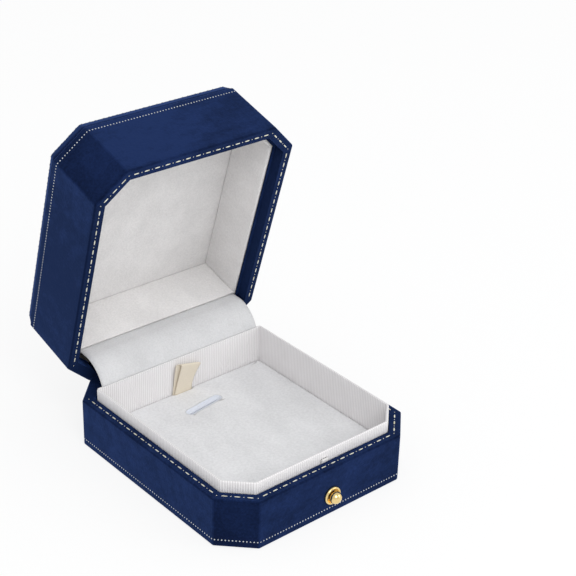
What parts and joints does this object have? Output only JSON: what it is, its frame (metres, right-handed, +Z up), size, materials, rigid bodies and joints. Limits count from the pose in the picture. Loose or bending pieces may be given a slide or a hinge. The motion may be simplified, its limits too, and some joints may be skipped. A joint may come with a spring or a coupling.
{
  "type": "pendant box",
  "caption": "Octagonal hinged pendant box with deep lid, push button, tooled leatherette outside, ribbed collar and lift-out suede pad.",
  "frame": {"origin": "centre of the box's underside, where it stands", "axes": "+X right, +Y back towards the hinge, +Z up; the button faces -Y and the lid stands open"},
  "size_m": [0.08, 0.1231, 0.1115],
  "materials": {
    "leatherette": "dark blue, suede-touch nap",
    "moulded_core": "plain moulding",
    "underside_paper": "black flocked paper",
    "white_paper": "plain",
    "ribbed_card": "white, fine upright ribs",
    "white_foam": "closed foam",
    "white_board": "white board",
    "white_suede": "short nap",
    "lid_suede": "short nap",
    "cream_ribbon": "satin ribbon",
    "gilt_metal": "polished, gilt",
    "spring_steel": "drawn",
    "hinge_steel": "nickel plated",
    "lacquered_steel": "white lacquer"
  },
  "bodies": {
    "base": {"base_sheet": "underside_paper", "base_wrap": "leatherette", "base_core": "moulded_core", "floor_liner": "white_paper", "collar": "ribbed_card", "pad_rest": "white_foam", "button_bezel": "gilt_metal", "return_spring": "spring_steel", "hinge_leaf_base": "hinge_steel", "hinge_pin": "hinge_steel", "hinge_rivets_base": "hinge_steel", "hinge_spring": "spring_steel"},
    "lid": {"hinge_leaf_lid": "hinge_steel", "hinge_rivets_lid": "hinge_steel", "hinge_cover": "white_suede", "lid_wrap": "leatherette", "lid_core": "moulded_core", "strike_plate": "lacquered_steel", "lid_cover": "leatherette", "lid_foam": "white_foam", "lining_left": "lid_suede", "lining_corner_left": "lid_suede", "lining_front": "lid_suede", "lining_corner_right": "lid_suede", "lining_right": "lid_suede", "lining_back": "lid_suede", "lining_top": "lid_suede"},
    "button": {"button_knob": "gilt_metal", "latch_plate": "lacquered_steel", "stem_washer": "spring_steel"},
    "pendant_pad": {"pad_board": "white_board", "pad_cover": "white_suede", "ribbon_tab": "cream_ribbon"}
  },
  "joints": [
    {"name": "lid_hinge", "type": "hinge", "parent": "base", "child": "lid", "pos_m": [0, 0.045, 0.017], "axis": [1, 0, 0], "range_deg": [0, 73.4], "stiffness_Nm_per_rad": 0.03, "springref_deg": -28.65, "deforming": ["hinge_cover", "hinge_spring"]},
    {"name": "button_press", "type": "slide", "parent": "base", "child": "button", "axis": [0, 1, 0], "range_m": [0, 0.0006], "stiffness_N_per_m": 1500, "springref_m": -0.0008, "deforming": ["return_spring"]},
    {"name": "pad_lift", "type": "slide", "parent": "base", "child": "pendant_pad", "axis": [0, 0, 1], "range_m": [0, 0.012]}
  ]
}
